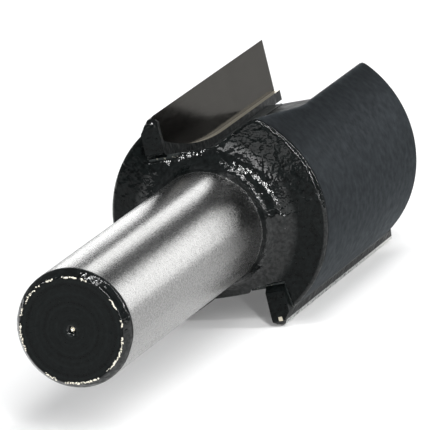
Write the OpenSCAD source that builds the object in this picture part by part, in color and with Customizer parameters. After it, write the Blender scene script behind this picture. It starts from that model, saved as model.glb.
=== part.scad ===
// Straight router bit, two flutes, with a round shank and brazed carbide tips.
// It lies as it comes to rest: its axis runs along +Y from the shank end to the cutting end, and the heel
// of one wing and the cutting edge of the other touch the plane z = 0. Millimetres and degrees.
// Each piece is drawn upright first, with its axis on +Z, its shank end at z = 0 and one tip on the +Y side,
// and lay_down() then turns it over.

/* [Shank] */
// Diameter of the shank that the collet holds
shank_d = 12; // [9:0.5:12.7]
// Length of the ground shank, up to the painted neck
shank_len = 38.1; // [28:0.1:60]
// Width of the chamfer on the shank end, across the radius
end_chamfer_w = 0.65; // [0.2:0.05:1.2]
// Length of the same chamfer, along the axis
end_chamfer_l = 0.85; // [0.2:0.05:1.5]
// Diameter of the centre mark in the shank end
centre_mark_d = 1.1; // [0.6:0.1:2]

/* [Head] */
// Diameter of the steel head behind the cutting edges
head_d = 23.3; // [22.4:0.1:23.6]
// Length of the steel head, from its rim to its flat end
head_len = 28.4; // [24:0.1:40]
// Radius of the hollow between shank and shoulder
neck_r = 2.6; // [1.2:0.1:3]
// Slope of the shoulder, from square to the axis
shoulder_slope = 18; // [8:1:24]
// Radius on the rim of the shoulder
rim_r = 0.55; // [0.2:0.05:0.9]

/* [Gullets] */
// Thickness of the steel web between the floors of the two gullets
web_t = 11; // [10:0.1:12]
// Distance from the axis to the corner between floor and flank
corner_off = 2; // [1:0.1:3]
// Slope of the flank that runs up to the heel, from the floor
flank_angle = 26.7; // [22:0.1:32]
// Radius of the milling cutter, which shows where each gullet starts to run out
cutter_r = 20; // [18:1:36]
// Slope at which the cutter then climbs out to the shoulder
ramp_angle = 12; // [9:0.5:14]
// Length of the whole run-out, from the rim
runout_len = 11.4; // [9:0.1:13]

/* [Carbide tips] */
// Diameter that the cutting edges sweep
cut_d = 25; // [24.6:0.1:26]
// Hook angle of the ground face
hook = 20; // [16:0.5:22]
// Length of a tip along the axis
tip_len = 34; // [31:0.1:36]
// How far the tips stand past the steel at the cutting end
tip_overhang = 4.4; // [2:0.1:6]
// Thickness of the tip blank
tip_t = 2.05; // [1.6:0.05:2.6]
// How far the tip is let in below the gullet floor
tip_drop = 0.35; // [0.2:0.05:0.8]
// How far the floor of the seat runs on in front of the tip
seat_relief = 1.6; // [0.2:0.1:2]
// Corner taken off the tip where its seat runs out
tip_corner = 0.6; // [0.4:0.1:1.4]
// Radius on the outer corner of the tip, at its near end
tip_round = 1.1; // [0.3:0.1:1.6]
// Chamfer on the front of the tip, at its far end
tip_chamfer = 0.3; // [0.1:0.05:0.5]
// How far the front corner of the tip blank lies inside the cutting edge
blank_inset = 0.55; // [0.5:0.05:0.9]
// Thickness of the braze around a tip
braze_t = 0.12; // [0.05:0.01:0.2]

/* [Grinding] */
// Depth ground off the face of each blank
face_depth = 0.73; // [0.4:0.01:0.9]
// Width of the ground face, inwards from the cutting edge
face_w = 5.55; // [5.1:0.05:5.9]
// Width of the strip left unground at the near end of the tip
near_strip = 0.55; // [0.3:0.05:1]
// Radius in the corner of the ground face, next to that strip
pocket_r = 0.5; // [0.3:0.05:0.8]
// Radius of the wheel that ground the face
wheel_r = 45; // [38:1:60]
// Distance from the near end of the tip to the lowest point of the wheel
wheel_run = 16.5; // [13:0.1:19]
// Width of the land behind the cutting edge
land_w = 0.5; // [0.3:0.05:0.8]
// Clearance of the land
land_clearance = 10; // [6:1:16]
// Clearance of the surface behind the land
back_clearance = 35; // [30:1:40]
// Width of the land on the end of the tip
end_land_w = 0.5; // [0.3:0.05:0.8]
// Clearance of that end land
end_clearance = 18; // [10:1:25]
// Slope of the end surface behind that land
end_slope = 65; // [45:1:68]

/* [Hidden] */
$fn = 96;
wheel_fn = 128;
slack = 1;
ramp_lift = 4;
arc_overlap = 10;
ramp_ease = 0.03;

shank_r = shank_d / 2;
head_r = head_d / 2;
cut_r = cut_d / 2;
centre_mark_slope = 0.6;

// Places along the axis, measured from the shank end
neck_end_r = shank_r + neck_r * (1 - sin(shoulder_slope));
neck_end_z = shank_len + neck_r * cos(shoulder_slope);
rim_z = neck_end_z + (head_r - neck_end_r) * tan(shoulder_slope);
rim_reach = rim_r * tan((90 - shoulder_slope) / 2);
rim_steps = 6;
steel_end = rim_z + head_len;
overall = steel_end + tip_overhang;
tip_start = overall - tip_len;
runout_z = rim_z + runout_len;
ramp_z = runout_z - cutter_r * sin(ramp_angle + ramp_lift);
ramp_len = runout_z / cos(ramp_angle);
wheel_z = tip_start + wheel_run;
strip_z = tip_start + near_strip;

// Places across one tooth: its cutting edge is at [face_x, edge_y]
face_x = cut_r * sin(hook);
edge_y = cut_r * cos(hook);
front_x = face_x - face_depth;
back_x = front_x + tip_t;
floor_y = web_t / 2;
seat_y = floor_y - tip_drop - braze_t;
tip_low_y = floor_y - tip_drop;
wheel_low_y = edge_y - face_w;
gullet_top = cut_r;

// The seat and the tip's long edge share the axis of the milling cutter, and its slope afterwards
cutter_y = floor_y + cutter_r;
seat_cut_r = cutter_y - seat_y;
tip_cut_r = cutter_y - tip_low_y;

// A point on the rounded rim, by the direction that the surface faces there
function rim_point(facing) = [head_r - rim_r, rim_z + rim_reach] + rim_r * [cos(facing), sin(facing)];
// Rise of the gullet floor at a place along the axis
function floor_rise(z) =
    z >= runout_z ? 0
    : z >= ramp_z ? cutter_r - sqrt(pow(cutter_r, 2) - pow(runout_z - z, 2))
    : cutter_r * (1 - cos(ramp_angle + ramp_lift)) + (ramp_z - z) * tan(ramp_angle);
// Direction of a surface behind the cutting edge, turned inwards by its clearance
function behind_edge(clearance) = [cos(hook + clearance), -sin(hook + clearance)];

land_end = [face_x, edge_y] + land_w * behind_edge(land_clearance);
back_top_y = land_end[1] - (back_x - land_end[0]) * tan(hook + back_clearance);
front_top_y = edge_y - blank_inset;

// Rest: the heel of a wing, just past its rim, and the cutting edge of the other wing touch the ground
heel_z = rim_z + rim_reach;
heel_slope = atan(tan(flank_angle) / cos(ramp_angle));
heel_offset = (floor_y + floor_rise(heel_z)) * cos(heel_slope) - corner_off * sin(heel_slope);
heel_angle = heel_slope + asin(heel_offset / head_r);
heel = [-head_r * cos(heel_angle), -head_r * sin(heel_angle)];
edge = [face_x, -edge_y];
rest_roll = -atan2(edge[1] - heel[1], edge[0] - heel[0]);
axis_height = cut_r * cos(hook + rest_roll);

// Turns an upright piece to lie along Y, centred, with its lowest points on z = 0
module lay_down() {
    translate([0, -overall / 2, axis_height])
        rotate([-90, 0, 0])
            rotate([0, 0, -rest_roll])
                children();
}

// Half section of the turned blank: radius along X, length along Y
module blank_section() {
    difference() {
        polygon(concat(
            [
                [0, 0],
                [shank_r - end_chamfer_w, 0],
                [shank_r, end_chamfer_l],
                [shank_r, shank_len],
                [neck_end_r, neck_end_z]
            ],
            [for (i = [0 : rim_steps]) rim_point((shoulder_slope - 90) * (1 - i / rim_steps))],
            [
                [head_r, steel_end],
                [0, steel_end]
            ]
        ));
        neck_hollow();
    }
}

// Circle that leaves the hollow between shank and shoulder
module neck_hollow() {
    translate([shank_r + neck_r, shank_len]) circle(r = neck_r, $fn = wheel_fn);
}

// Section of a gullet above its floor: X across the tooth, Y up from the floor
module gullet_section() {
    flank_x = -corner_off - gullet_top;
    polygon([
        [face_x, 0],
        [-corner_off, 0],
        [flank_x, gullet_top * tan(flank_angle)],
        [flank_x, gullet_top],
        [face_x, gullet_top]
    ]);
}

// Sweeps a section as the milling cutter does: straight in from the cutting end, round by its own radius,
// then up the ramp. The section's Y is the height above the lowest line of the cut, which lies cut_radius
// below the cutter's axis. The cut up the ramp is a little wider towards +X, inside the braze.
module milled(cut_radius, wider = ramp_ease) {
    translate([0, cutter_y - cut_radius, runout_z])
        linear_extrude(height = overall - runout_z + slack)
            children();
    translate([0, cutter_y, runout_z])
        rotate([0, 90, 0])
            rotate([0, 0, -90])
                rotate_extrude(angle = ramp_angle + arc_overlap, $fn = wheel_fn)
                    rotate(90)
                        translate([0, -cut_radius])
                            children();
    translate([0, cutter_y, runout_z])
        rotate([ramp_angle, 0, 0])
            translate([0, -cut_radius * cos(ramp_lift), -ramp_len])
                linear_extrude(height = ramp_len)
                    union() {
                        children();
                        translate([wider, 0]) children();
                    }
}

module gullet() {
    milled(cutter_r, slack / 2) gullet_section();
}

// Slot for one tip and the braze around it
module seat() {
    milled(seat_cut_r)
        union() {
            translate([front_x - seat_relief, 0])
                square([seat_relief + slack / 2, tip_drop + braze_t + slack]);
            translate([front_x - slack / 2, 0])
                square([tip_t + braze_t + slack / 2, gullet_top]);
        }
}

// The turned blank with both gullets milled
module milled_blank() {
    difference() {
        rotate_extrude() blank_section();
        gullet();
        rotate([0, 0, 180]) gullet();
    }
}

// Shank and head, turned from one bar, with the gullets and the two seats
module steel_body() {
    color([0.10, 0.11, 0.12])
        lay_down()
            difference() {
                milled_blank();
                seat();
                rotate([0, 0, 180]) seat();
                cylinder(h = centre_mark_d * centre_mark_slope, d1 = centre_mark_d, d2 = 0);
            }
}

// Outline of the ground face, with X along the tip from its near end and Y out from the axis
module pocket_outline() {
    corner = near_strip + pocket_r;
    corner_y = wheel_low_y + wheel_r - sqrt(pow(wheel_r - pocket_r, 2) - pow(wheel_run - corner, 2));
    intersection() {
        translate([wheel_run, wheel_low_y + wheel_r]) circle(r = wheel_r, $fn = wheel_fn);
        translate([corner, 0]) square([wheel_run - corner + slack, cut_r + slack]);
    }
    translate([wheel_run, wheel_low_y]) square([tip_len - wheel_run + slack, cut_r]);
    translate([corner, corner_y]) circle(r = pocket_r);
    translate([near_strip, corner_y]) square([pocket_r + slack / 10, cut_r]);
}

// What the grinding wheel takes off the face, between the strip at the near end and the far end
module face_grind() {
    translate([face_x, 0, tip_start])
        rotate([0, -90, 0])
            linear_extrude(height = cut_r)
                pocket_outline();
}

// What is ground off the end: a land at the cutting edge, a steep surface behind it and a chamfer in front
module end_grind() {
    land_drop = end_land_w * tan(end_clearance);
    run = tip_t + slack;
    translate([face_x, cut_r, overall])
        rotate([90, 0, 0])
            linear_extrude(height = cut_r)
                union() {
                    polygon([
                        [0, 0],
                        [end_land_w, -land_drop],
                        [run, -land_drop - (run - end_land_w) * tan(end_slope)],
                        [run, slack],
                        [0, slack]
                    ]);
                    polygon([
                        [-face_depth - slack, -tip_chamfer - slack],
                        [-face_depth + tip_chamfer, 0],
                        [-face_depth + tip_chamfer, slack],
                        [-face_depth - slack, slack]
                    ]);
                }
}

// One carbide tip on its seat
module tip_solid() {
    difference() {
        intersection() {
            translate([0, 0, tip_start])
                linear_extrude(height = tip_len)
                    polygon([
                        [front_x, 0],
                        [front_x, front_top_y],
                        [face_x, edge_y],
                        land_end,
                        [back_x, back_top_y],
                        [back_x, 0]
                    ]);
            milled(tip_cut_r)
                translate([front_x - slack, 0])
                    square([tip_t + 2 * slack, gullet_top]);
        }
        face_grind();
        end_grind();
        near_corner();
        outer_corner();
    }
}

// What rounds the outer corner of the tip at its near end
module outer_corner() {
    translate([front_x - slack, 0, tip_start])
        rotate([90, 0, 90])
            linear_extrude(height = tip_t + 2 * slack)
                difference() {
                    translate([edge_y - tip_round, -slack]) square([tip_round + slack, tip_round + slack]);
                    translate([edge_y - tip_round, tip_round]) circle(r = tip_round);
                }
}

// Corner taken off the near end of the tip, next to the shoulder
module near_corner() {
    seat_rise = tip_low_y + floor_rise(tip_start);
    translate([front_x - slack, seat_rise + tip_corner, tip_start])
        rotate([45, 0, 0])
            translate([0, -2 * tip_corner, -2 * tip_corner])
                cube([tip_t + 2 * slack, 2 * tip_corner, 4 * tip_corner]);
}

// Braze between a tip and the steel, up to the end of the steel and short of the tip's cut corner
module braze_solid() {
    difference() {
        intersection() {
            milled_blank();
            seat();
            translate([0, 0, tip_start + tip_corner])
                cylinder(h = overall, r = cut_r);
        }
        tip_solid();
    }
}

module carbide_tip_1() {
    color([0.36, 0.35, 0.33]) lay_down() tip_solid();
}

module carbide_tip_2() {
    color([0.36, 0.35, 0.33]) lay_down() rotate([0, 0, 180]) tip_solid();
}

module braze_1() {
    color([0.75, 0.68, 0.45]) lay_down() braze_solid();
}

module braze_2() {
    color([0.75, 0.68, 0.45]) lay_down() rotate([0, 0, 180]) braze_solid();
}

steel_body();
carbide_tip_1();
carbide_tip_2();
braze_1();
braze_2();
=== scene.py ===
from math import acos, asin, atan, atan2, cos, pi, radians, sin, sqrt, tan

import bmesh
import bpy
import numpy as np
from mathutils import Matrix, Vector


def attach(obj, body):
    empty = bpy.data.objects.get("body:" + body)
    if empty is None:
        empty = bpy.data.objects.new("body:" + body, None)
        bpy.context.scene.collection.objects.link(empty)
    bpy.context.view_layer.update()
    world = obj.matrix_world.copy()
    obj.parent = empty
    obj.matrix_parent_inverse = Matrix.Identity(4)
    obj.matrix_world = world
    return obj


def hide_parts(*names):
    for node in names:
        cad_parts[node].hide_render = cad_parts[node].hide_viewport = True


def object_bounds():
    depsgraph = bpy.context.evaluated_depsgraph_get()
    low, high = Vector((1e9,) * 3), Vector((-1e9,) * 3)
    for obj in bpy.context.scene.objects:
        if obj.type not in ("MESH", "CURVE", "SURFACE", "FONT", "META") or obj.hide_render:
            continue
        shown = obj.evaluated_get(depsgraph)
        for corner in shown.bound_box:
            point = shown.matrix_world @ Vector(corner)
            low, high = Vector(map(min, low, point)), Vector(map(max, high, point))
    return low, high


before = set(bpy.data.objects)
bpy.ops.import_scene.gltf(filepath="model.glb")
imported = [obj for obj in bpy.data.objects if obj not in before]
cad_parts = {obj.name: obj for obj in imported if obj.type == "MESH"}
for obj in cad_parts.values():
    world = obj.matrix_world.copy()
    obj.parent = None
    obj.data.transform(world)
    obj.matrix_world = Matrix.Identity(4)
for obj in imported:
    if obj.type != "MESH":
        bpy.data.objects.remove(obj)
cad_low, cad_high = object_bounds()

# Steel body. Shank and head are turned from one bar of steel, with a hollow between shank and shoulder,
# and a disc cutter mills the two gullets and the seats for the tips, climbing out on an arc and a ramp.
# The body is coated with black enamel, and the shank is ground bright.

mm = 0.001
shank_r = 6.0
shank_len = 38.1
end_chamfer_w, end_chamfer_l = 0.65, 0.85
centre_mark_r, centre_mark_depth = 0.55, 0.66
head_r = 11.65
neck_r = 2.6
shoulder_slope = radians(18)
rim_r = 0.55
paint_round = 0.22
end_skin = 0.035
arc_points = 30
wall_points, seat_points, floor_points, flank_points = 15, 9, 27, 22
smoothing_passes = 4
head_len = 28.4
floor_y = 5.5
corner_off = 2.0
heel_least, heel_most = 1.25, 0.94
flank_angle = radians(26.7)
cutter_r = 20.0
ramp_angle, ramp_lift = radians(12), radians(4)
runout_len = 11.4
tip_drop, braze_t = 0.35, 0.12
seat_relief = 1.6
cut_r = 12.5
hook = radians(20)
face_depth, tip_t = 0.73, 2.05
tip_len, tip_overhang = 34.0, 4.4

neck_end_r = shank_r + neck_r * (1 - sin(shoulder_slope))
neck_end_z = shank_len + neck_r * cos(shoulder_slope)
rim_z = neck_end_z + (head_r - neck_end_r) * tan(shoulder_slope)
rim_reach = rim_r * tan(pi / 4 - shoulder_slope / 2)
steel_end = rim_z + head_len
overall = steel_end + tip_overhang
tip_start = overall - tip_len
runout_z = rim_z + runout_len
face_x, edge_y = cut_r * sin(hook), cut_r * cos(hook)
front_x = face_x - face_depth
back_x = front_x + tip_t
seat_y = floor_y - tip_drop - braze_t
seat_x = (front_x - seat_relief, back_x + braze_t)
cutter_y = floor_y + cutter_r


def rise(z, radius):
    """How far a cut of this radius has climbed out of the steel at z: an arc, then a ramp."""
    back = np.maximum(runout_z - z, 0.0)
    arc = np.minimum(back, radius * sin(ramp_angle + ramp_lift))
    return radius - np.sqrt(radius**2 - arc**2) + (back - arc) * tan(ramp_angle)


def flank_slope(z):
    """Slope of the flank across the axis at z, which is steeper where the cutter climbs."""
    climb = asin(min(max(runout_z - z, 0.0) / cutter_r, sin(ramp_angle + ramp_lift)))
    return atan(tan(flank_angle) / cos(min(climb, ramp_angle)))


def lowest_heel():
    """Roll at which the heel of one wing and the edge of the other lie level, and the axis height."""
    z = rim_z + rim_reach
    slope = flank_slope(z)
    off = (floor_y + rise(z, cutter_r)) * cos(slope) - corner_off * sin(slope)
    heel = slope + asin(off / head_r)
    roll = -atan2(-edge_y + head_r * sin(heel), face_x + head_r * cos(heel))
    return roll, cut_r * cos(hook + roll)


roll, axis_height = lowest_heel()


def lay_down(x, y, z):
    """From a piece's own upright frame to the row frame, where the bit lies along Y."""
    return np.stack([
        (x * cos(roll) + y * sin(roll)) * mm,
        (z - overall / 2) * mm,
        (axis_height + x * sin(roll) - y * cos(roll)) * mm,
    ], axis=-1)


def blank_rows():
    """Radius, place and inset of each ring of the turned blank, from the centre mark to the far end."""
    rows = [(r, centre_mark_depth * (1 - r / centre_mark_r)) for r in (0.04, 0.2, 0.4)]
    rows += [(r, end_skin) for r in (0.5, 0.6, 0.8, 1.3, 2.0, 2.8, 3.6, 4.3, 4.8, 5.1, 5.25, 5.32)]
    rows += [(shank_r - end_chamfer_w * (1 - t), end_chamfer_l * t) for t in (0.06, 0.2, 0.5, 0.8, 0.94)]
    rows += [(shank_r, z) for z in (0.9, 1.0, 1.3)]
    rows += [(shank_r, z) for z in np.linspace(2.5, shank_len - 1.6, 26)]
    rows += [(shank_r, shank_len - back) for back in (0.9, 0.5, 0.3, 0.2, 0.14, 0.08)]
    for t in np.linspace(0, 1, 16):
        turn = (pi / 2 - shoulder_slope) * t
        rows.append((shank_r + neck_r * (1 - cos(turn)), shank_len + neck_r * sin(turn)))
    inner = head_r - rim_reach * cos(shoulder_slope)
    for r in np.linspace(neck_end_r, inner, 27)[1:]:
        rows.append((r, neck_end_z + (r - neck_end_r) * tan(shoulder_slope)))
    for t in np.linspace(0, 1, 8)[1:]:
        turn = (shoulder_slope - pi / 2) * (1 - t)
        rows.append((head_r - rim_r * (1 - cos(turn)), rim_z + rim_reach + rim_r * sin(turn)))
    rows += [(head_r, z) for z in np.linspace(rim_z + rim_reach + 0.12, runout_z, 44)]
    rows += [(head_r, z) for z in np.linspace(runout_z, steel_end - 0.3, 22)[1:]]
    rows = [(r, z, 0.0) for r, z in rows]
    for turn in np.linspace(0, pi / 2, 6):
        inset = paint_round * (1 - cos(turn))
        rows.append((head_r - inset, steel_end - paint_round * (1 - sin(turn)), inset))
    return rows


def half_section(radius, z, inset):
    """Half of the outline at one ring, from +X round to -X, as points of the upright frame."""
    floor = floor_y + rise(z, cutter_r) - inset
    seat = seat_y + rise(z, cutter_y - seat_y) - inset
    edge = lambda x: sqrt(max(radius**2 - x * x, 0.0))
    low, high = seat_x[0] - inset, seat_x[1] + inset
    slope = flank_slope(z)
    corner = -corner_off - inset * tan(slope / 2)
    points = []
    reach = min(high / radius, 0.999)
    for t in np.linspace(0, 1, arc_points)[:-1]:
        a = acos(reach) * t
        points.append((radius * cos(a), radius * sin(a)))
    x_of = lambda x: min(x, reach * radius)
    top = edge(x_of(high))
    for t in 0.5 - 0.5 * np.cos(np.linspace(0, pi, wall_points)):
        points.append((x_of(high), top + (min(seat, top) - top) * t))
    for t in np.linspace(0, 1, seat_points)[1:]:
        x = x_of(high + (low - high) * t)
        points.append((x, min(seat, edge(x))))
    x = x_of(low)
    for t in (0.5, 1.0):
        points.append((x, min(seat + (floor - seat) * t, edge(x))))
    for t in np.linspace(0, 1, floor_points)[1:]:
        x = x_of(low) + (corner - x_of(low)) * t
        points.append((x, min(floor, edge(x))))
    # The flank meets the outside of the head at the heel
    off = floor * cos(slope) + corner * sin(slope)
    heel = pi - slope - asin(min(off / radius, 1.0)) if off < radius else pi / 2
    heel_x = max(min(radius * cos(heel), -heel_least * corner_off), -heel_most * radius)
    for t in np.linspace(0, 1, flank_points)[1:]:
        x = corner + (heel_x - corner) * t
        points.append((x, min(floor + (corner - x) * tan(slope), edge(x))))
    start = atan2(edge(heel_x), heel_x)
    for t in np.linspace(0, 1, arc_points)[1:]:
        a = start + (pi - start) * t
        points.append((radius * cos(a), radius * sin(a)))
    return np.array(points[:-1])


def ring(radius, z, inset):
    """The whole outline at one ring. On the end face it is the shank's own outline, made smaller."""
    half = half_section(max(radius, shank_r), z, inset) * min(radius / shank_r, 1.0)
    return np.column_stack([np.concatenate([half, -half]), np.full(2 * len(half), z)])


def grid_mesh(name, rings, finish_of):
    """A closed mesh through the rings, with a finish index for each row and column of faces."""
    rows, around = len(rings), len(rings[0])
    places = rings.reshape(-1, 3)
    faces, finish = [], []
    for i in range(rows - 1):
        for j in range(around):
            k = (j + 1) % around
            faces.append((i * around + j, (i + 1) * around + j, (i + 1) * around + k, i * around + k))
            finish.append(finish_of[i][j])
    faces.append(tuple(range(around)))
    finish.append(finish_of[0][0])
    faces.append(tuple(range((rows - 1) * around, rows * around))[::-1])
    finish.append(finish_of[-1][around // 4])
    mesh = bpy.data.meshes.new(name)
    mesh.from_pydata([tuple(p) for p in lay_down(places[:, 0], places[:, 1], places[:, 2])], [], faces)
    mesh.polygons.foreach_set("material_index", finish)
    mesh.polygons.foreach_set("use_smooth", [True] * len(faces))
    bm = bmesh.new()
    bm.from_mesh(mesh)
    bmesh.ops.remove_doubles(bm, verts=bm.verts, dist=0.012 * mm)
    bmesh.ops.recalc_face_normals(bm, faces=bm.faces)
    bm.to_mesh(mesh)
    bm.free()
    piece = bpy.data.objects.new(name, mesh)
    bpy.context.scene.collection.objects.link(piece)
    return piece


rows = blank_rows()
rings = np.array([ring(*row) for row in rows])
for _ in range(smoothing_passes):
    beside = (np.roll(rings, 1, 1) + np.roll(rings, -1, 1)) / 2
    along = beside.copy()
    along[1:-1] = (rings[:-2] + rings[2:]) / 2
    rings = rings / 2 + beside / 4 + along / 4
place = np.array([row[1] for row in rows])
half_count = len(rings[0]) // 2
enamel, bare_steel, satin_enamel, bare_edge = range(4)
finish = np.full((len(rings) - 1, 2 * half_count), enamel)
middle = (place[:-1] + place[1:]) / 2
finish[(middle > end_chamfer_l + 0.1) & (middle < shank_len - 0.02)] = bare_steel
column = np.arange(2 * half_count) % half_count
outside = (column < arc_points - 2) | (column > half_count - arc_points)
finish[np.ix_((middle > rim_z + rim_reach - 0.05) & (middle < steel_end - 0.2), outside)] = satin_enamel
finish[0] = bare_edge
steel_body = grid_mesh("body", rings, finish)


def input_socket(tree, name, kind):
    """A named input of a node tree, given back by the identifier that a modifier sets it by."""
    return tree.interface.new_socket(name, in_out="INPUT", socket_type="NodeSocket" + kind).identifier


def worn_ring(radius, metal):
    """Spots of bare metal along a circle, where the enamel has chipped off an edge."""
    tree = bpy.data.node_groups.new("worn ring", "GeometryNodeTree")
    tree.interface.new_socket("Geometry", in_out="OUTPUT", socket_type="NodeSocketGeometry")
    settings = (
        ("Radius", "Float", radius), ("Spots", "Int", 420), ("Width", "Float", 0.10),
        ("Length", "Float", 0.09), ("Flatness", "Float", 0.3), ("Stray", "Float", 0.09),
        ("Patch scale", "Float", 0.62), ("Bare above", "Float", 0.52), ("Seed", "Int", 4),
        ("Metal", "Material", metal),
    )
    keys = [input_socket(tree, name, kind) for name, kind, value in settings]
    new, link = tree.nodes.new, tree.links.new
    given = new("NodeGroupInput").outputs
    circle = new("GeometryNodeCurvePrimitiveCircle")
    circle.inputs["Resolution"].default_value = 256
    link(given["Radius"], circle.inputs["Radius"])
    spots = new("GeometryNodeCurveToPoints")
    link(circle.outputs[0], spots.inputs["Curve"])
    link(given["Spots"], spots.inputs["Count"])
    patches = new("ShaderNodeTexNoise")
    link(given["Patch scale"], patches.inputs["Scale"])
    patches.inputs["Detail"].default_value = 4.0
    covered = new("FunctionNodeCompare")
    covered.operation = "GREATER_THAN"
    link(patches.outputs["Fac"], covered.inputs["A"])
    link(given["Bare above"], covered.inputs["B"])
    # The spots stray a little from the circle, except along the axis
    shift = new("FunctionNodeRandomValue")
    shift.data_type = "FLOAT_VECTOR"
    shift.inputs["Min"].default_value = (-1.0, -1.0, 0.0)
    shift.inputs["Max"].default_value = (1.0, 1.0, 0.0)
    strayed = new("ShaderNodeVectorMath")
    strayed.operation = "SCALE"
    link(shift.outputs["Value"], strayed.inputs[0])
    link(given["Stray"], strayed.inputs["Scale"])
    strewn = new("GeometryNodeSetPosition")
    link(spots.outputs["Points"], strewn.inputs["Geometry"])
    link(strayed.outputs[0], strewn.inputs["Offset"])
    kept = new("GeometryNodeDeleteGeometry")
    kept.domain = "POINT"
    link(strewn.outputs[0], kept.inputs["Geometry"])
    link(covered.outputs[0], kept.inputs["Selection"])
    grain = new("GeometryNodeMeshIcoSphere")
    grain.inputs["Subdivisions"].default_value = 2
    size = new("ShaderNodeCombineXYZ")
    link(given["Width"], size.inputs["X"])
    link(given["Width"], size.inputs["Y"])
    link(given["Length"], size.inputs["Z"])
    # Each spot is drawn out along the circle and has a size of its own
    chance = new("FunctionNodeRandomValue")
    chance.data_type = "FLOAT_VECTOR"
    chance.inputs["Min"].default_value = (0.2, 0.35, 0.3)
    chance.inputs["Max"].default_value = (1.0, 1.0, 1.3)
    link(given["Seed"], chance.inputs["Seed"])
    scaled = new("ShaderNodeVectorMath")
    scaled.operation = "MULTIPLY"
    link(size.outputs[0], scaled.inputs[0])
    link(chance.outputs["Value"], scaled.inputs[1])
    placed = new("GeometryNodeInstanceOnPoints")
    link(kept.outputs[0], placed.inputs["Points"])
    link(grain.outputs["Mesh"], placed.inputs["Instance"])
    link(spots.outputs["Rotation"], placed.inputs["Rotation"])
    link(scaled.outputs[0], placed.inputs["Scale"])
    flat = new("GeometryNodeTransform")
    link(placed.outputs[0], flat.inputs["Geometry"])
    flattening = new("ShaderNodeCombineXYZ")
    flattening.inputs["X"].default_value = flattening.inputs["Y"].default_value = 1.0
    link(given["Flatness"], flattening.inputs["Z"])
    link(flattening.outputs[0], flat.inputs["Scale"])
    real = new("GeometryNodeRealizeInstances")
    link(flat.outputs[0], real.inputs[0])
    painted = new("GeometryNodeSetMaterial")
    link(real.outputs[0], painted.inputs["Geometry"])
    link(given["Metal"], painted.inputs["Material"])
    link(painted.outputs[0], new("NodeGroupOutput").inputs[0])
    carrier = bpy.data.objects.new("worn ring", bpy.data.meshes.new("worn ring"))
    bpy.context.scene.collection.objects.link(carrier)
    modifier = carrier.modifiers.new("worn ring", "NODES")
    modifier.node_group = tree
    for key, (name, kind, value) in zip(keys, settings):
        modifier[key] = value
    made = bpy.data.meshes.new_from_object(carrier.evaluated_get(bpy.context.evaluated_depsgraph_get()))
    bpy.data.objects.remove(carrier)
    return made


def add_to_body(mesh, z):
    """Joins a mesh in mm, drawn round the axis, to the body at a place along it."""
    for vertex in mesh.vertices:
        x, y, up = vertex.co
        vertex.co = lay_down(x, y, z + up)
    bm = bmesh.new()
    bm.from_mesh(mesh)
    for face in bm.faces:
        face.material_index = bare_edge
    bm.from_mesh(steel_body.data)
    bm.to_mesh(steel_body.data)
    bm.free()


def material(name):
    """A new material, with its node tree and its shader."""
    made = bpy.data.materials.new(name)
    made.use_nodes = True
    tree = made.node_tree
    return made, tree, tree.nodes["Principled BSDF"]


def node(tree, kind, **values):
    """A new node with the given settings."""
    made = tree.nodes.new(kind)
    for key, value in values.items():
        setattr(made, key, value)
    return made


def maths(tree, operation, a, b=None):
    """The result of a sum on one or two values, each a number or a socket."""
    made = node(tree, "ShaderNodeMath", operation=operation)
    for socket, value in zip(made.inputs, (a, b)):
        if value is None:
            continue
        if isinstance(value, (int, float)):
            socket.default_value = value
        else:
            tree.links.new(value, socket)
    return made.outputs[0]


def blend(tree, share, a, b):
    """A colour between two colours, by a share that is a number or a socket."""
    made = node(tree, "ShaderNodeMix", data_type="RGBA")
    for socket, value in ((made.inputs[0], share), (made.inputs[6], a), (made.inputs[7], b)):
        if isinstance(value, (int, float)):
            socket.default_value = value
        elif isinstance(value, tuple):
            socket.default_value = (*value, 1)
        else:
            tree.links.new(value, socket)
    return made.outputs[2]


def span(tree, value, low, high, to_low=0.0, to_high=1.0):
    """A value moved from one range to another, and held at its ends."""
    made = node(tree, "ShaderNodeMapRange", clamp=True)
    tree.links.new(value, made.inputs["Value"])
    for key, number in (("From Min", low), ("From Max", high), ("To Min", to_low), ("To Max", to_high)):
        made.inputs[key].default_value = number
    return made.outputs[0]


def noise(tree, where, scale, detail=3.0, rough=0.55, stretch=None):
    """Cloudy noise from 0 to 1 at a place, closer together along an axis with a larger stretch."""
    if stretch:
        mapping = node(tree, "ShaderNodeMapping")
        tree.links.new(where, mapping.inputs["Vector"])
        mapping.inputs["Scale"].default_value = stretch
        where = mapping.outputs[0]
    made = node(tree, "ShaderNodeTexNoise")
    tree.links.new(where, made.inputs["Vector"])
    made.inputs["Scale"].default_value = scale
    made.inputs["Detail"].default_value = detail
    made.inputs["Roughness"].default_value = rough
    return made.outputs["Fac"]


def from_axis(tree):
    """Object coordinates in mm, the distance along the axis and the distance away from it."""
    where = node(tree, "ShaderNodeTexCoord").outputs["Object"]
    shift = node(tree, "ShaderNodeMapping")
    tree.links.new(where, shift.inputs["Vector"])
    shift.inputs["Location"].default_value = (0, overall / 2, -axis_height)
    shift.inputs["Scale"].default_value = (1000, 1000, 1000)
    parts = node(tree, "ShaderNodeSeparateXYZ")
    tree.links.new(shift.outputs[0], parts.inputs[0])
    x, y, z = parts.outputs
    squares = maths(tree, "ADD", maths(tree, "MULTIPLY", x, x), maths(tree, "MULTIPLY", z, z))
    away = maths(tree, "SQRT", squares)
    return shift.outputs[0], y, away


def bump(tree, shader, height, strength, distance):
    """Relief from a height, given to the shader and returned. The distance is in mm."""
    made = node(tree, "ShaderNodeBump")
    made.inputs["Strength"].default_value = strength
    made.inputs["Distance"].default_value = distance * mm
    tree.links.new(height, made.inputs["Height"])
    tree.links.new(made.outputs[0], shader.inputs["Normal"])
    return made.outputs[0]


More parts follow.
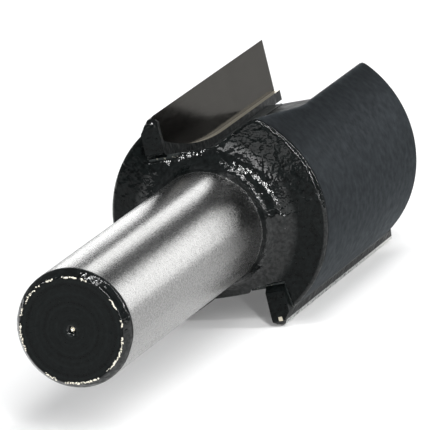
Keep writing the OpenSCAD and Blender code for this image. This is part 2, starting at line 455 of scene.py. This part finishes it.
def black_enamel():
    """Near-black paint with a crinkled skin, glossier where it has pooled on curves and edges."""
    made, tree, shader = material("black enamel")
    where, along, away = from_axis(tree)
    turned = node(tree, "ShaderNodeCombineXYZ")
    tree.links.new(away, turned.inputs["X"])
    rings = noise(tree, turned.outputs[0], 2.3, 2, 0.5)
    on_end = span(tree, along, 0.2, 0.1)
    blotch = noise(tree, where, 1.8, 4, 0.65)
    ring_share = maths(tree, "MULTIPLY", on_end, 0.6)
    plain = maths(tree, "MULTIPLY", blotch, maths(tree, "SUBTRACT", 1.0, ring_share))
    pattern = maths(tree, "ADD", plain, maths(tree, "MULTIPLY", rings, ring_share))
    tone = blend(tree, span(tree, pattern, 0.3, 0.7), (0.0008, 0.0010, 0.0010), (0.0060, 0.0078, 0.0078))
    tree.links.new(tone, shader.inputs["Base Color"])
    shader.inputs["Specular IOR Level"].default_value = 0.1
    # Tilt is -1 where the surface faces the shank end and 0 where it runs along the axis
    facing = node(tree, "ShaderNodeSeparateXYZ")
    tree.links.new(node(tree, "ShaderNodeTexCoord").outputs["Normal"], facing.inputs[0])
    tilt = facing.outputs["Y"]
    gloss = span(tree, noise(tree, where, 0.8, 3), 0.3, 0.7, 0.10, 0.22)
    duller = span(tree, tilt, -0.4, -0.15, 0.0, 0.3)
    tree.links.new(maths(tree, "ADD", gloss, duller), shader.inputs["Roughness"])
    curved = maths(tree, "MULTIPLY", span(tree, tilt, -0.93, -0.84), span(tree, tilt, -0.28, -0.4))
    near_head = maths(tree, "MULTIPLY", span(tree, along, 20, 25), span(tree, along, 42.3, 41.6))
    neck = maths(tree, "MULTIPLY", span(tree, away, 8.9, 8.2), near_head)
    patchy = span(tree, noise(tree, where, 2.8, 3, 0.6), 0.40, 0.62, 0.34, 0.80)
    pooled = maths(tree, "MULTIPLY", maths(tree, "MAXIMUM", curved, neck), patchy)
    tree.links.new(pooled, shader.inputs["Coat Weight"])
    shader.inputs["Coat Roughness"].default_value = 0.04
    peel = noise(tree, where, 1.3, 2, 0.5)
    skin = bump(tree, shader, peel, 0.55, 0.24)
    tree.links.new(skin, shader.inputs["Coat Normal"])
    return made


def satin_paint():
    """The duller enamel round the outside of the head, shaded as a dark metal with faint turning marks."""
    made, tree, shader = material("satin enamel")
    where = from_axis(tree)[0]
    shader.inputs["Metallic"].default_value = 1.0
    shader.inputs["Specular Tint"].default_value = (0.74, 0.785, 0.82, 1)
    turning = noise(tree, where, 1.0, 3, 0.6, stretch=(0.25, 3.0, 0.25))
    tone = blend(tree, turning, (0.008, 0.0082, 0.0085), (0.018, 0.0185, 0.0192))
    tree.links.new(tone, shader.inputs["Base Color"])
    tree.links.new(span(tree, noise(tree, where, 1.2, 3), 0.3, 0.7, 0.50, 0.62), shader.inputs["Roughness"])
    bump(tree, shader, turning, 0.08, 0.03)
    return made


def ground_steel():
    """Bright steel from the grinder, with fine marks running round the shank, and a painted highlight where
    the grinding ends.
    """
    made, tree, shader = material("ground steel")
    where, along, _ = from_axis(tree)
    shader.inputs["Metallic"].default_value = 1.0
    grain = noise(tree, where, 1.0, 2, 0.5, stretch=(1.1, 9.0, 1.1))
    fleck = noise(tree, where, 4.5, 4, 0.65)
    tone = blend(tree, span(tree, fleck, 0.3, 0.7), (0.17, 0.17, 0.168), (0.31, 0.308, 0.302))
    # A thin ring of much lighter colour where the grinding stops next to the enamel is a painted highlight,
    # standing in for the light that the edge catches there.
    painted_edge_highlight = span(tree, along, shank_len - 0.3, shank_len - 0.15)
    tone = blend(tree, maths(tree, "MULTIPLY", painted_edge_highlight, 0.7), tone, (0.85, 0.85, 0.84))
    tree.links.new(tone, shader.inputs["Base Color"])
    tree.links.new(span(tree, fleck, 0.3, 0.7, 0.22, 0.32), shader.inputs["Roughness"])
    bump(tree, shader, grain, 0.5, 0.03)
    return made


def bare_metal():
    """Steel that shows where the paint is chipped, and at the bottom of the centre mark."""
    made, tree, shader = material("bare steel")
    where = from_axis(tree)[0]
    shader.inputs["Metallic"].default_value = 0.8
    tone = blend(tree, noise(tree, where, 5.0, 3), (0.62, 0.56, 0.42), (0.95, 0.93, 0.86))
    tree.links.new(tone, shader.inputs["Base Color"])
    shader.inputs["Roughness"].default_value = 0.35
    return made


for made in (black_enamel(), ground_steel(), satin_paint(), bare_metal()):
    steel_body.data.materials.append(made)
chipped = worn_ring(shank_r - end_chamfer_w - 0.05, steel_body.data.materials[bare_edge])
add_to_body(chipped, end_skin)
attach(steel_body, "root")
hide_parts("steel_body")

# Carbide tips. Each is a pressed and sintered plate of tungsten carbide, brazed into its seat. A wheel
# has ground its face, the land behind its edge and its end, and the enamel still covers the rest.


def ground_face(name):
    """The hollow-ground face: dark carbide with faint arcs from the wheel."""
    made, tree, shader = material(name)
    where = from_axis(tree)[0]
    shader.inputs["Metallic"].default_value = 1.0
    shader.inputs["Specular Tint"].default_value = (0.71, 0.705, 0.70, 1)
    cloud = noise(tree, where, 0.35, 2, 0.5)
    marks = noise(tree, where, 1.0, 3, 0.6, stretch=(7.0, 0.5, 7.0))
    tone = blend(tree, cloud, (0.024, 0.0225, 0.0195), (0.042, 0.040, 0.035))
    tone = blend(tree, span(tree, marks, 0.35, 0.75, 0.0, 0.35), tone, (0.060, 0.057, 0.050))
    tree.links.new(tone, shader.inputs["Base Color"])
    tree.links.new(span(tree, marks, 0.3, 0.7, 0.10, 0.2), shader.inputs["Roughness"])
    bump(tree, shader, marks, 0.06, 0.02)
    return made


def ground_land(name):
    """The land and the clearance behind the edge: bright, with pits that the wheel has left."""
    made, tree, shader = material(name)
    where, along, _ = from_axis(tree)
    shader.inputs["Metallic"].default_value = 1.0
    pits = span(tree, noise(tree, where, 2.6, 3, 0.7), 0.50, 0.58)
    # Towards the tip's near end the land is darker, with dark pits over most of it, and towards the far end
    # it is brighter with few pits.
    far = span(tree, along, overall - 14, overall - 2)
    tone = blend(tree, far, (0.60, 0.61, 0.60), (0.68, 0.68, 0.66))
    worn = maths(tree, "MULTIPLY", pits, span(tree, far, 0.0, 1.0, 0.9, 0.15))
    tree.links.new(blend(tree, worn, tone, (0.03, 0.03, 0.03)), shader.inputs["Base Color"])
    shader.inputs["Roughness"].default_value = 0.38
    bump(tree, shader, pits, 0.3, 0.02)
    return made


def ground_step(name):
    """The wall that the wheel has cut at the bottom of the face, bright and slightly warm."""
    made, tree, shader = material(name)
    where = from_axis(tree)[0]
    shader.inputs["Metallic"].default_value = 1.0
    marks = noise(tree, where, 2.5, 3, 0.6)
    tree.links.new(blend(tree, marks, (0.46, 0.42, 0.33), (0.74, 0.69, 0.57)), shader.inputs["Base Color"])
    shader.inputs["Roughness"].default_value = 0.36
    bump(tree, shader, marks, 0.2, 0.03)
    return made


near_strip, pocket_r = 0.55, 0.5
wheel_r, wheel_run = 45.0, 16.5
wheel_low_y = edge_y - 5.55
tip_round, tip_corner, tip_chamfer = 1.1, 0.6, 0.3
blank_inset = 0.55
land, relief, clearance = 0.5, radians(10), radians(35)
end_relief, end_clearance = radians(18), radians(65)
land_end = (face_x + land * cos(hook + relief), edge_y - land * sin(hook + relief))
fall = tan(hook + clearance)
end_land_x = face_x + land
bare_x = end_land_x + 0.22
back_top_y = land_end[1] - (back_x - land_end[0]) * fall


def step_y(run):
    """Height of the step at the bottom of the ground face, by the distance from the tip's near end."""
    corner = near_strip + pocket_r
    if run < corner:
        middle = wheel_low_y + wheel_r - sqrt((wheel_r - pocket_r)**2 - (wheel_run - corner)**2)
        return middle - sqrt(max(pocket_r**2 - (corner - run)**2, 0.0))
    return wheel_low_y + wheel_r - sqrt(wheel_r**2 - max(wheel_run - run, 0.0)**2)


def end_z(x):
    """Where the ground end of the tip lies, by the place across the plate."""
    if x < face_x:
        return overall - max(tip_chamfer - (x - front_x), 0.0)
    flat = min(x - face_x, land)
    return overall - flat * tan(end_relief) - (x - face_x - flat) * tan(end_clearance)


def tip_section(run, ground):
    """Outline of the tip at one place along it, from the back of its seat edge round to its back."""
    low = floor_y - tip_drop + rise(tip_start + run, cutter_y - floor_y + tip_drop)
    low = max(low, floor_y - tip_drop + rise(tip_start, cutter_r) + tip_corner - run)
    step = step_y(run) if ground else edge_y - blank_inset
    mid = front_x + tip_chamfer
    points = [(back_x, low), (end_land_x, low), (face_x, low), (mid, low), (front_x, low), (front_x, step)]
    if ground:
        points += [(mid, step), (face_x, step)]
    else:
        points += [(mid, step + blank_inset * tip_chamfer / face_depth), (face_x, edge_y)]
    points += [(face_x, edge_y), land_end, (end_land_x, land_end[1] - (end_land_x - land_end[0]) * fall)]
    points += [(bare_x, land_end[1] - (bare_x - land_end[0]) * fall), (back_x, back_top_y)]
    top = edge_y - tip_round + sqrt(tip_round**2 - max(tip_round - run, 0.0)**2)
    return [(x, min(y, top)) for x, y in points]


def tip(name, source, side):
    """One tip as a mesh of cross-sections along it, with the finish that each strip of faces has."""
    runs = [(run, False) for run in (0.0, 0.04, 0.1, 0.2, 0.32, 0.44, near_strip)]
    runs += [(near_strip + run, True) for run in (0.0, 0.03, 0.08, 0.15, 0.25, 0.36, 0.5, 0.8)]
    runs += [(run, True) for run in np.linspace(1.6, tip_len - 2.4, 40)]
    outline = [[(x, y, tip_start + run) for x, y in tip_section(run, ground)] for run, ground in runs]
    start = outline[-1][0][2]
    for share in (0.33, 0.66, 1.0):
        outline.append([(x, y, start + (end_z(x) - start) * share) for x, y in tip_section(tip_len, True)])
    around = len(outline[0])
    points = np.array(outline).reshape(-1, 3) * (side, side, 1)
    faces, finish = [], []
    face, step, bare_land, enamel_left = range(4)
    # Strips are counted by the point of tip_section that they start from, and the rest keep their enamel
    ground_columns = {5: step, 6: step, 7: face, 8: bare_land, 9: bare_land, 10: bare_land}
    enamelled = len([run for run, ground in runs if not ground]) - 1
    for i in range(len(outline) - 1):
        for j in range(around):
            k = (j + 1) % around
            faces.append((i * around + j, (i + 1) * around + j, (i + 1) * around + k, i * around + k))
            # The near corner of the lower tip has a small spot worn bright
            worn = step if side == 1 and i < 2 and j == 8 else enamel_left
            finish.append(ground_columns.get(j, enamel_left) if i >= enamelled else worn)
    last = (len(outline) - 1) * around
    faces.append(tuple(range(around)))
    finish.append(enamel_left)
    ground_end = (
        ((3, 4, 5, 6), face),
        ((2, 3, 6, 7), bare_land),
        ((1, 2, 7, 8, 9, 10), bare_land),
        ((0, 1, 10, 11, 12), bare_land),
    )
    for corners, coat in ground_end:
        faces.append(tuple(last + j for j in corners))
        finish.append(coat)
    mesh = bpy.data.meshes.new(name)
    mesh.from_pydata([tuple(p) for p in lay_down(points[:, 0], points[:, 1], points[:, 2])], [], faces)
    mesh.polygons.foreach_set("material_index", finish)
    bm = bmesh.new()
    bm.from_mesh(mesh)
    bmesh.ops.remove_doubles(bm, verts=bm.verts, dist=0.002 * mm)
    bmesh.ops.dissolve_degenerate(bm, edges=bm.edges, dist=0.001 * mm)
    bmesh.ops.recalc_face_normals(bm, faces=bm.faces)
    bm.to_mesh(mesh)
    bm.free()
    mesh.polygons.foreach_set("use_smooth", [True] * len(mesh.polygons))
    mesh.set_sharp_from_angle(angle=radians(14))
    for made in (carbide_face, carbide_step, carbide_land, steel_body.data.materials[enamel]):
        mesh.materials.append(made)
    piece = bpy.data.objects.new(name, mesh)
    bpy.context.scene.collection.objects.link(piece)
    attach(piece, "root")
    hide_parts(source)


carbide_face = ground_face("ground face")
carbide_step = ground_step("ground step")
carbide_land = ground_land("ground land")
tip("tip_lower", "carbide_tip_1", 1)
tip("tip_upper", "carbide_tip_2", -1)

# Braze. Silver alloy fills the thin gap behind and under each tip, and holds the carbide in its seat in
# the steel. What shows is a fine line, mostly under enamel.

braze, tree, shader = material("silver braze")
where = from_axis(tree)[0]
fleck = span(tree, noise(tree, where, 3.5, 3, 0.6), 0.62, 0.72)
shader.inputs["Metallic"].default_value = 0.6
tree.links.new(blend(tree, fleck, (0.02, 0.024, 0.024), (0.30, 0.29, 0.24)), shader.inputs["Base Color"])
shader.inputs["Roughness"].default_value = 0.42
bump(tree, shader, noise(tree, where, 2.2, 3, 0.6), 0.5, 0.1)
for name in ("braze_1", "braze_2"):
    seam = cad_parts[name]
    seam.data.materials.clear()
    seam.data.materials.append(braze)

# Studio. The floor is plain and pale, and the camera stands where the photograph was taken from.

floor_mesh = bpy.data.meshes.new("floor")
floor_half = 1.6
floor_mesh.from_pydata([(-floor_half, -floor_half, 0), (floor_half, -floor_half, 0),
                        (floor_half, floor_half, 0), (-floor_half, floor_half, 0)], [], [(0, 1, 2, 3)])
floor = bpy.data.objects.new("floor", floor_mesh)
floor.location.z = cad_low.z
bpy.context.scene.collection.objects.link(floor)
floor_paint, _, floor_shader = material("pale floor")
floor_shader.inputs["Base Color"].default_value = (0.82, 0.82, 0.82, 1)
floor_shader.inputs["Roughness"].default_value = 0.9
floor_shader.inputs["Specular IOR Level"].default_value = 0.1
floor_shader.inputs["Emission Color"].default_value = (1, 1, 1, 1)
floor_shader.inputs["Emission Strength"].default_value = 0.15
floor_mesh.materials.append(floor_paint)


def softbox(name, place, aim, width, height, watts):
    """A lamp with a rectangular front, which the camera doesn't see."""
    data = bpy.data.lights.new(name, "AREA")
    data.shape = "RECTANGLE"
    data.size, data.size_y = width, height
    data.energy = watts
    lamp = bpy.data.objects.new(name, data)
    lamp.location = place
    lamp.rotation_mode = "QUATERNION"
    lamp.rotation_quaternion = (Vector(aim) - Vector(place)).to_track_quat("-Z", "Y")
    lamp.visible_camera = False
    bpy.context.scene.collection.objects.link(lamp)


world = bpy.data.worlds.new("studio")
world.use_nodes = True
world.node_tree.nodes["Background"].inputs["Color"].default_value = (0.95, 0.975, 1.0, 1)
world.node_tree.nodes["Background"].inputs["Strength"].default_value = 0.2
bpy.context.scene.world = world

centre = Vector((0, 0, axis_height * mm))
reach = 0.8


def towards(x, y, z, distance):
    """The place at a distance from the middle of the bit, in the direction given."""
    return centre + Vector((x, y, z)).normalized() * distance


# Name, direction from the bit, width and height in degrees as the bit sees them, and brightness
for name, aim, wide, tall, radiance in (
    ("right rear softbox", (0.38, 0.89, 0.20), 20, 24, 3.8),
    ("rear softbox", (-0.13, 0.88, 0.45), 11, 22, 3.6),
    ("left rear softbox", (-0.42, 0.89, 0.13), 10, 14, 3.6),
    ("front softbox", (-0.09, -0.95, 0.23), 28, 14, 6.0),
    ("front strip", (0.47, -0.70, 0.53), 1.4, 64, 98),
    ("overhead strip", (0.66, 0.10, 0.68), 1.1, 72, 62),
    ("top strip", (0.15, -0.17, 0.97), 20, 2.2, 60),
    ("left front softbox", (-0.62, -0.60, 0.50), 4, 10, 60),
):
    width, height = (2 * reach * tan(radians(angle / 2)) for angle in (wide, tall))
    softbox(name, towards(*aim, reach), centre, width, height, pi * width * height * radiance)

camera_data = bpy.data.cameras.new("camera")
camera_data.sensor_width = 36.0
camera_data.lens = 669.8
camera_data.clip_start, camera_data.clip_end = 0.05, 20
camera = bpy.data.objects.new("camera", camera_data)
right = Vector((0.93799, 0.34110, -0.06172)).normalized()
ahead = Vector((-0.34544, 0.9050, -0.24832)).normalized()
up = right.cross(ahead).normalized()
right = ahead.cross(up).normalized()
camera.matrix_world = Matrix((
    (right.x, up.x, -ahead.x, 0.27934),
    (right.y, up.y, -ahead.y, -0.72831),
    (right.z, up.z, -ahead.z, 0.21234),
    (0, 0, 0, 1),
))
bpy.context.scene.collection.objects.link(camera)
bpy.context.scene.camera = camera
bpy.context.scene.view_settings.view_transform = "Standard"
